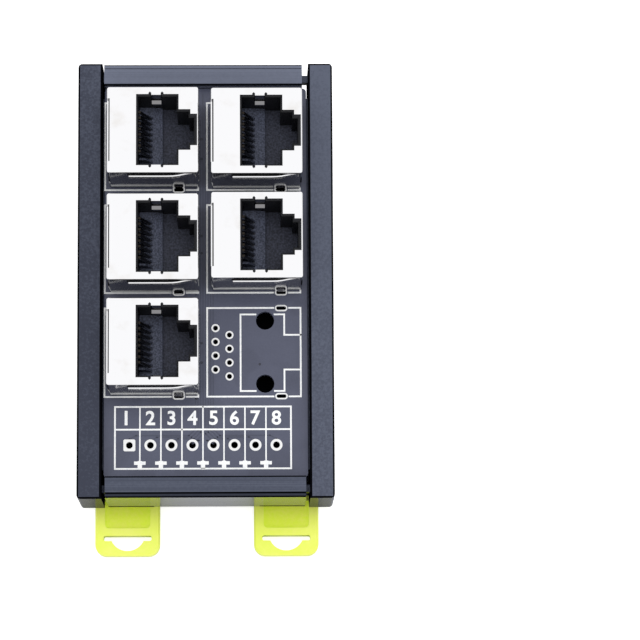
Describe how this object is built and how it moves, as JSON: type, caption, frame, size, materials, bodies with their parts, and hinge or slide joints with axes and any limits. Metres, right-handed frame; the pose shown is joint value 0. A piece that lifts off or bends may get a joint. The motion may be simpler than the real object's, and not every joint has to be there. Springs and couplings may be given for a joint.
{
  "type": "ethernet terminal block adapter",
  "caption": "Rail-mounted interface module: a board with upright shielded data sockets, an empty socket place and a terminal row in a clip-on carrier.",
  "frame": {"origin": "middle of the carrier floor's underside, where it rests on the 35 mm rail", "axes": "+X along the rail, +Y across the rail away from the two latches, +Z out of the panel to the sockets' mouths"},
  "size_m": [0.0466, 0.089, 0.0327],
  "materials": {
    "carrier_plastic": "satin black extruded",
    "side_plastic": "fine matte black moulded",
    "latch_plastic": "bright yellow-green moulded",
    "board_laminate": "dark solder mask",
    "solder": "tinned, bright",
    "shield_sheet": "bright plated sheet",
    "socket_plastic": "black moulded",
    "block_plastic": "dark grey-blue moulded",
    "contact_wire": "gold plated"
  },
  "bodies": {
    "carrier": {"carrier_profile": "carrier_plastic", "side_element_right": "side_plastic", "side_element_left": "side_plastic", "circuit_board": "board_laminate", "terminal_pads": "solder", "spare_socket_pads": "solder", "shield_slot_pads": "solder", "solder_joints": "solder", "jack_1_shield": "shield_sheet", "jack_1_insulator": "socket_plastic", "jack_1_contact_block": "block_plastic", "jack_1_contacts": "contact_wire", "jack_2_shield": "shield_sheet", "jack_2_insulator": "socket_plastic", "jack_2_contact_block": "block_plastic", "jack_2_contacts": "contact_wire", "jack_3_shield": "shield_sheet", "jack_3_insulator": "socket_plastic", "jack_3_contact_block": "block_plastic", "jack_3_contacts": "contact_wire", "jack_4_shield": "shield_sheet", "jack_4_insulator": "socket_plastic", "jack_4_contact_block": "block_plastic", "jack_4_contacts": "contact_wire", "jack_5_shield": "shield_sheet", "jack_5_insulator": "socket_plastic", "jack_5_contact_block": "block_plastic", "jack_5_contacts": "contact_wire"},
    "latch_left": {"rail_latch_left": "latch_plastic"},
    "latch_right": {"rail_latch_right": "latch_plastic"}
  },
  "joints": [
    {"name": "latch_left_slide", "type": "slide", "parent": "carrier", "child": "latch_left", "axis": [0, -1, 0], "range_m": [0, 0.003], "stiffness_N_per_m": 1500, "springref_m": -0.0002},
    {"name": "latch_right_slide", "type": "slide", "parent": "carrier", "child": "latch_right", "axis": [0, -1, 0], "range_m": [0, 0.003], "stiffness_N_per_m": 1500, "springref_m": -0.0002}
  ]
}
